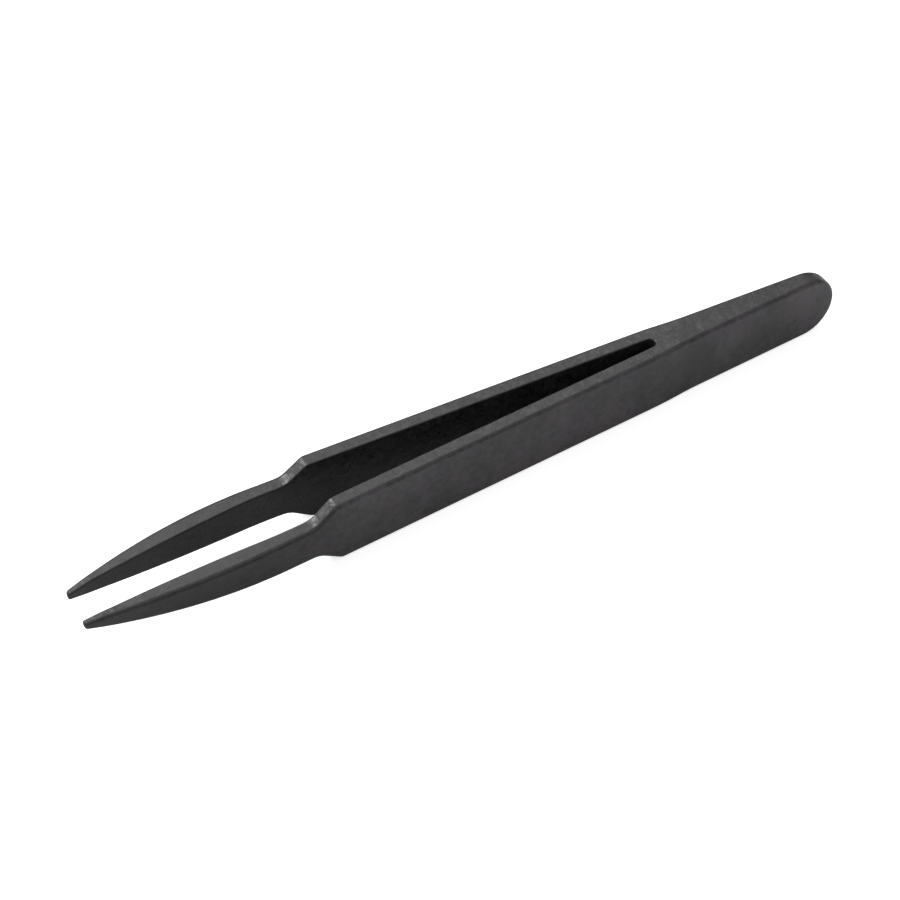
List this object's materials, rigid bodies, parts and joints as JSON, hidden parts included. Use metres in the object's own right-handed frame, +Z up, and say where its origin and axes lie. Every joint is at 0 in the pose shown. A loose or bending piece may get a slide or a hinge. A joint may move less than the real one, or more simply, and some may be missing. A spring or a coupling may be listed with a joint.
{
  "type": "tweezers",
  "caption": "One-piece moulded tweezers with two flat sprung arms, stepped shoulders, slim pointed prongs and a rounded closed end.",
  "frame": {"origin": "middle of the bounding box, level with the lower narrow edges that the tweezers lie on", "axes": "+X from the tips to the closed end, +Y across the gap to the far arm, +Z up across the arms' width"},
  "size_m": [0.115, 0.0118, 0.0097],
  "materials": {
    "tweezers_body": "black carbon-filled engineering plastic, as moulded, satin with a faint grain"
  },
  "bodies": {
    "root": {"tweezers_body": "tweezers_body"}
  },
  "joints": []
}
